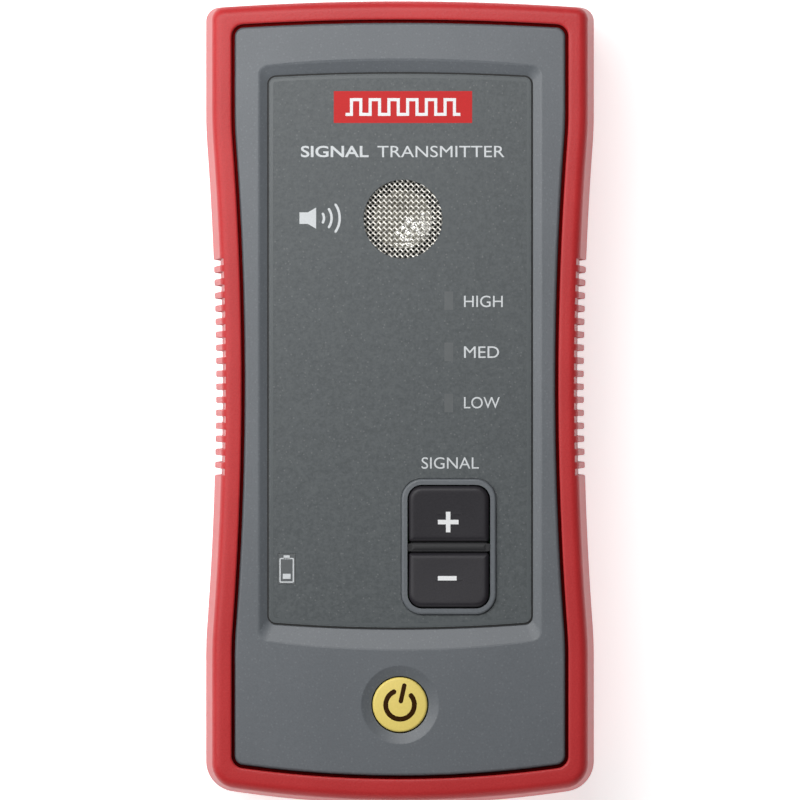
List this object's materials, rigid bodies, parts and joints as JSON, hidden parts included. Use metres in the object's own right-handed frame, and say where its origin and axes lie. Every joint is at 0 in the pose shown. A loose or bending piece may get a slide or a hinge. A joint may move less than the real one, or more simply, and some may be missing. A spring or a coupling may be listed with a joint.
{
  "type": "signal transmitter",
  "caption": "Hand-held audio and ultrasonic signal transmitter with a waisted red bumper, recessed control panel, round mesh sound opening and rubber keys.",
  "frame": {"origin": "middle of the flat the tool rests on when it lies on its back: the middle of the body's box in plan, at the rear rim of the bumper", "axes": "+Z out of the face towards the user, +Y towards the top end with the sound opening, +X to the right as seen from the face"},
  "size_m": [0.08, 0.1654, 0.0382],
  "materials": {
    "red_bumper": "matte soft-touch moulding",
    "grey_case": "fine spark-textured moulding",
    "panel_film": "textured printed film",
    "grille_wire": "plain woven wire",
    "aluminium_can": "drawn, satin",
    "pale_cone": "matte pale cone",
    "brass_plate": "machined",
    "black_plastic": "moulded",
    "steel": "plated",
    "black_rubber": "matte",
    "smoked_window": "smoked, smooth",
    "lamp_white": "clear encapsulated",
    "dark_key": "matte silicone",
    "mat_silicone": "matte silicone",
    "yellow_key": "matte silicone",
    "carbon_pill": "carbon filled",
    "board_green": "solder mask",
    "ferrite": "ground ferrite",
    "copper_wire": "enamelled wire",
    "battery_jacket": "plain printed steel jacket",
    "foam_pad": "closed-cell foam"
  },
  "bodies": {
    "root": {"front_bumper": "red_bumper", "rear_bumper": "red_bumper", "front_case": "grey_case", "rear_case": "grey_case", "front_overlay": "panel_film", "grille": "grille_wire", "transducer_can": "black_plastic", "transducer_cone": "pale_cone", "piezo_disc": "brass_plate", "transducer_base": "black_plastic", "transducer_pins": "steel", "transducer_grommet": "black_rubber", "level_windows": "smoked_window", "battery_window": "smoked_window", "level_leds": "lamp_white", "battery_led": "lamp_white", "keypad": "mat_silicone", "circuit_board": "board_green", "microcontroller": "black_plastic", "driver_chips": "black_plastic", "transformer_core": "ferrite", "transformer_winding": "copper_wire", "capacitors": "aluminium_can", "crystal": "steel", "board_screws": "steel", "battery": "battery_jacket", "battery_terminals": "steel", "snap_contacts": "steel", "terminal_block": "black_plastic", "contact_tags": "steel", "door_inserts": "brass_plate", "case_screws": "steel", "case_seal": "black_rubber"},
    "plus_key_body": {"plus_key": "dark_key", "plus_contact": "carbon_pill"},
    "minus_key_body": {"minus_key": "dark_key", "minus_contact": "carbon_pill"},
    "power_key_body": {"power_key": "yellow_key", "power_contact": "carbon_pill"},
    "door_body": {"battery_door": "grey_case", "battery_pad": "foam_pad"},
    "upper_screw_body": {"upper_door_screw": "steel"},
    "lower_screw_body": {"lower_door_screw": "steel"}
  },
  "joints": [
    {"name": "plus_key_press", "type": "slide", "parent": "root", "child": "plus_key_body", "axis": [0, 0, -1], "range_m": [0, 0.0009], "stiffness_N_per_m": 1500, "springref_m": -0.0002},
    {"name": "minus_key_press", "type": "slide", "parent": "root", "child": "minus_key_body", "axis": [0, 0, -1], "range_m": [0, 0.0009], "stiffness_N_per_m": 1500, "springref_m": -0.0002},
    {"name": "power_key_press", "type": "slide", "parent": "root", "child": "power_key_body", "axis": [0, 0, -1], "range_m": [0, 0.0009], "stiffness_N_per_m": 1500, "springref_m": -0.0002},
    {"name": "battery_door_lift", "type": "slide", "parent": "root", "child": "door_body", "axis": [0, 0, -1], "range_m": [0, 0.02]},
    {"name": "upper_screw_turn", "type": "hinge", "parent": "door_body", "child": "upper_screw_body", "pos_m": [0, -0.0004, 0.001], "axis": [0, 0, 1], "continuous": true},
    {"name": "lower_screw_turn", "type": "hinge", "parent": "door_body", "child": "lower_screw_body", "pos_m": [0, -0.0689, 0.001], "axis": [0, 0, 1], "continuous": true}
  ]
}
